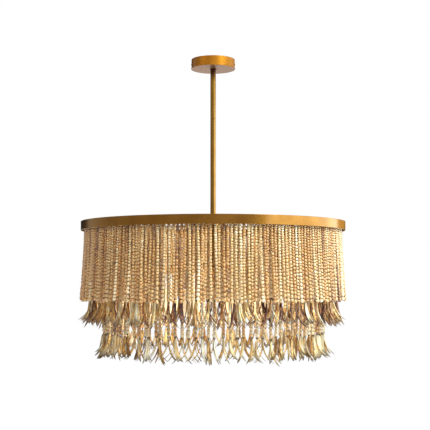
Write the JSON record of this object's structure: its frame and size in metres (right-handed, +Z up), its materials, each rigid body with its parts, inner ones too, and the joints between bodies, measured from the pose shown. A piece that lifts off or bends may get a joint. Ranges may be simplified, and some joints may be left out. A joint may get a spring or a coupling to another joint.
{
  "type": "beaded chandelier",
  "caption": "Rod-hung round chandelier: a thin metal band carries a drum of bead strands over longer tiers that end in curved pointed slivers.",
  "frame": {"origin": "centre of the ceiling face of the mounting crossbar, on the rod's axis", "axes": "+Z up along the rod; +X to the right seen from the front; the picture looks along +Y"},
  "size_m": [0.7628, 0.7628, 0.8632],
  "materials": {
    "canopy_brass": "satin spun brass",
    "drum_brass": "brushed antique brass",
    "plated_steel": "zinc plated",
    "ground_screw_green": "green dyed",
    "turned_beads": "turned and polished",
    "sliver_fringe": "polished, pale with dark tips",
    "socket_shell": "plain",
    "frosted_glass": "frosted, lit warm"
  },
  "bodies": {
    "ceiling_mount": {"ceiling_crossbar": "plated_steel", "canopy_cover": "canopy_brass", "swivel_nipple": "plated_steel", "nipple_locknut": "plated_steel", "ground_screw": "ground_screw_green", "canopy_screw_left": "canopy_brass", "canopy_screw_right": "canopy_brass"},
    "yoke": {"swivel_yoke": "plated_steel", "swivel_pivot_pin": "plated_steel"},
    "chandelier": {"swivel_knuckle": "drum_brass", "rod_upper": "drum_brass", "rod_coupling": "plated_steel", "rod_lower": "drum_brass", "drum_hub": "drum_brass", "drum_band": "drum_brass", "lamp_column": "drum_brass", "lamp_body": "drum_brass", "finial": "drum_brass", "drum_arm_1": "drum_brass", "outer_bead_curtain_1": "turned_beads", "middle_fringe_curtain_1": "sliver_fringe", "inner_fringe_curtain_1": "sliver_fringe", "drum_arm_2": "drum_brass", "outer_bead_curtain_2": "turned_beads", "middle_fringe_curtain_2": "sliver_fringe", "inner_fringe_curtain_2": "sliver_fringe", "drum_arm_3": "drum_brass", "outer_bead_curtain_3": "turned_beads", "middle_fringe_curtain_3": "sliver_fringe", "inner_fringe_curtain_3": "sliver_fringe", "drum_arm_4": "drum_brass", "outer_bead_curtain_4": "turned_beads", "middle_fringe_curtain_4": "sliver_fringe", "inner_fringe_curtain_4": "sliver_fringe", "lamp_arm_1": "drum_brass", "lamp_socket_1": "socket_shell", "bulb_1": "frosted_glass", "lamp_arm_2": "drum_brass", "lamp_socket_2": "socket_shell", "bulb_2": "frosted_glass", "lamp_arm_3": "drum_brass", "lamp_socket_3": "socket_shell", "bulb_3": "frosted_glass", "lamp_arm_4": "drum_brass", "lamp_socket_4": "socket_shell", "bulb_4": "frosted_glass", "lamp_arm_5": "drum_brass", "lamp_socket_5": "socket_shell", "bulb_5": "frosted_glass", "lamp_arm_6": "drum_brass", "lamp_socket_6": "socket_shell", "bulb_6": "frosted_glass"}
  },
  "joints": [
    {"name": "swivel_turn", "type": "hinge", "parent": "ceiling_mount", "child": "yoke", "pos_m": [0, 0, -0.0065], "axis": [0, 0, 1], "range_deg": [-175, 175]},
    {"name": "swivel_tilt", "type": "hinge", "parent": "yoke", "child": "chandelier", "pos_m": [0, 0, -0.0156], "axis": [0, 1, 0], "range_deg": [-5, 5]}
  ]
}
